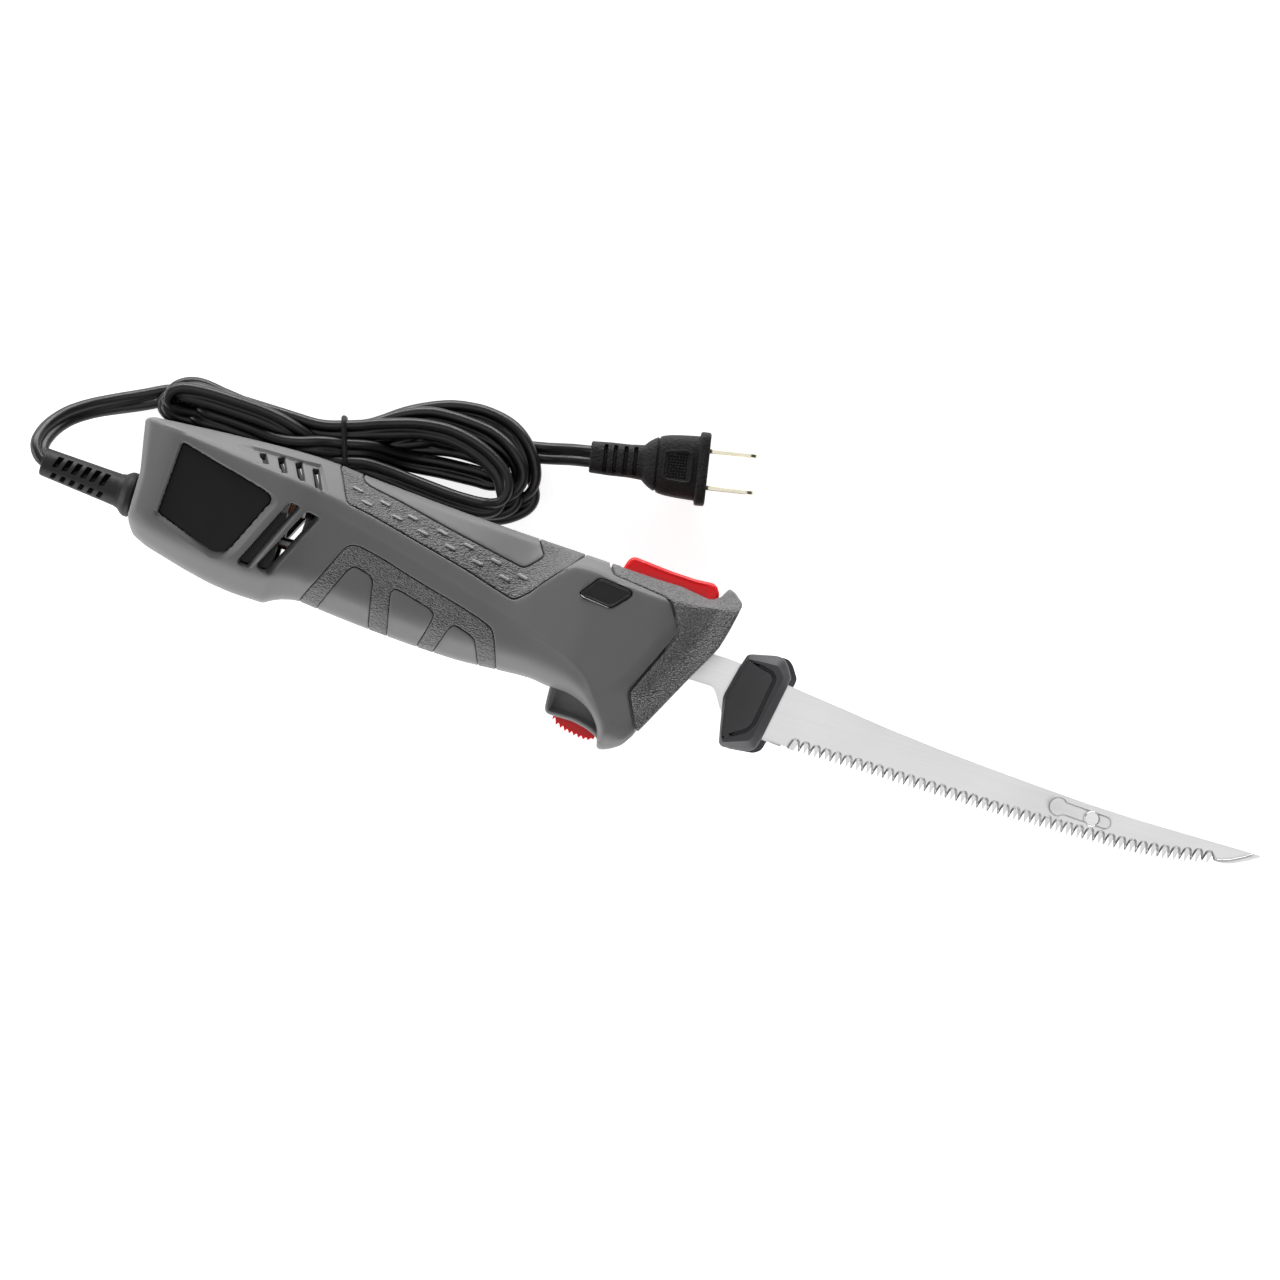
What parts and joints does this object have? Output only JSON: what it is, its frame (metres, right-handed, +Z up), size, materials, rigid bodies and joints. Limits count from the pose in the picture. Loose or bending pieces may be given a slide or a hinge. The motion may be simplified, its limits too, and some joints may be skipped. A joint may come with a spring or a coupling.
{
  "type": "electric fillet knife",
  "caption": "Mains electric fillet knife with a moulded grip handle, twin toothed reciprocating blades with finger guards, trigger, blade release bar, trigger lock and a tied cord with plug.",
  "frame": {"origin": "middle of the knife without its free cord, on the table that the left side lies on", "axes": "+X from the cord end to the blade tips, +Y towards the top of the knife (release bar side), +Z up through the handle from its left half to its right half"},
  "size_m": [0.4459, 0.1155, 0.0452],
  "materials": {
    "grey_plastic": "satin moulded grey",
    "grip_rubber": "pebbled soft grey",
    "black_plastic": "satin black",
    "red_plastic": "glossy red",
    "spring_steel": "bright spring steel",
    "blade_steel": "brushed along the blade",
    "machined_steel": "turned",
    "lamination_steel": "dark varnished laminations",
    "copper": "varnished copper",
    "carbon": "matt carbon",
    "bronze": "oiled bronze",
    "pin_brass": "pale nickelled brass",
    "nylon": "natural nylon",
    "guard_plastic": "satin charcoal",
    "black_rubber": "black flexible cord material"
  },
  "bodies": {
    "handle": {"housing_right": "grey_plastic", "housing_left": "grey_plastic", "upper_grip_right": "grip_rubber", "lower_grip_right": "grip_rubber", "nose_grip_right": "grip_rubber", "upper_grip_left": "grip_rubber", "lower_grip_left": "grip_rubber", "nose_grip_left": "grip_rubber", "badge_right": "black_plastic", "badge_left": "black_plastic", "switch_body": "black_plastic", "trigger_spring": "spring_steel", "release_spring": "spring_steel", "bearing_front": "machined_steel", "screw_1": "machined_steel", "screw_2": "machined_steel", "screw_3": "machined_steel", "screw_4": "machined_steel", "screw_5": "machined_steel", "screw_6": "machined_steel", "field_stack": "lamination_steel", "field_coil_upper": "copper", "field_coil_lower": "copper", "brush_right": "carbon", "brush_left": "carbon", "bearing_rear": "bronze", "plug_pin_a": "pin_brass", "plug_pin_b": "pin_brass", "rear_bracket": "nylon", "gear_frame": "nylon", "guide_rear": "nylon", "guide_front": "nylon", "strain_relief": "black_rubber", "cord_lead": "black_rubber", "cord_hank": "black_rubber", "cord_tail": "black_rubber", "cord_tie": "black_rubber", "plug_body": "black_rubber"},
    "armature": {"armature_core": "lamination_steel", "armature_shaft": "machined_steel", "commutator": "copper", "fan": "nylon", "worm": "machined_steel"},
    "gear": {"worm_wheel": "nylon", "eccentric_right": "machined_steel", "eccentric_left": "machined_steel", "wheel_axle": "machined_steel"},
    "right_blade_set": {"carrier_right": "nylon", "blade_right": "blade_steel", "guard_right": "guard_plastic"},
    "left_blade_set": {"carrier_left": "nylon", "blade_left": "blade_steel", "guard_left": "guard_plastic", "tip_rivet": "blade_steel"},
    "right_latch": {"latch_right": "spring_steel"},
    "left_latch": {"latch_left": "spring_steel"},
    "trigger_body": {"trigger": "red_plastic"},
    "release_body": {"release_bar": "red_plastic"},
    "lock_body": {"lock_bolt": "black_plastic"}
  },
  "joints": [
    {"name": "armature_spin", "type": "hinge", "parent": "handle", "child": "armature", "pos_m": [-0.12638, 0.00189, 0.0225], "axis": [1, 0, 0], "range_deg": [-530.55, 1089.45]},
    {"name": "gear_spin", "type": "hinge", "parent": "handle", "child": "gear", "pos_m": [-0.09638, 0.0146, 0.0225], "axis": [0, 0, 1], "range_deg": [-121.1, 59]},
    {"name": "right_blade_stroke", "type": "slide", "parent": "handle", "child": "right_blade_set", "axis": [1, 0, 0], "range_m": [-0.00197, 0.00404]},
    {"name": "left_blade_stroke", "type": "slide", "parent": "handle", "child": "left_blade_set", "axis": [1, 0, 0], "range_m": [-0.00404, 0.00197]},
    {"name": "trigger_press", "type": "slide", "parent": "handle", "child": "trigger_body", "axis": [0, 1, 0], "range_m": [0, 0.003], "stiffness_N_per_m": 800, "springref_m": -0.001, "deforming": ["trigger_spring"]},
    {"name": "release_press", "type": "slide", "parent": "handle", "child": "release_body", "axis": [0, -1, 0], "range_m": [0, 0.0025], "stiffness_N_per_m": 900, "springref_m": -0.001, "deforming": ["release_spring"]},
    {"name": "right_latch_drop", "type": "slide", "parent": "right_blade_set", "child": "right_latch", "axis": [0, -1, 0], "range_m": [0, 0.0025]},
    {"name": "left_latch_drop", "type": "slide", "parent": "left_blade_set", "child": "left_latch", "axis": [0, -1, 0], "range_m": [0, 0.0025]},
    {"name": "lock_slide", "type": "slide", "parent": "handle", "child": "lock_body", "axis": [0, 0, -1], "range_m": [0, 0.003]}
  ],
  "couplings": [
    {"joint": "gear_spin", "follows": "armature_spin", "ratio": -0.11111},
    {"joint": "right_blade_stroke", "follows": "armature_spin", "m_per_rad": 0.00021221},
    {"joint": "left_blade_stroke", "follows": "armature_spin", "m_per_rad": -0.00021221},
    {"joint": "right_latch_drop", "follows": "release_press", "ratio": 1},
    {"joint": "left_latch_drop", "follows": "release_press", "ratio": 1}
  ]
}
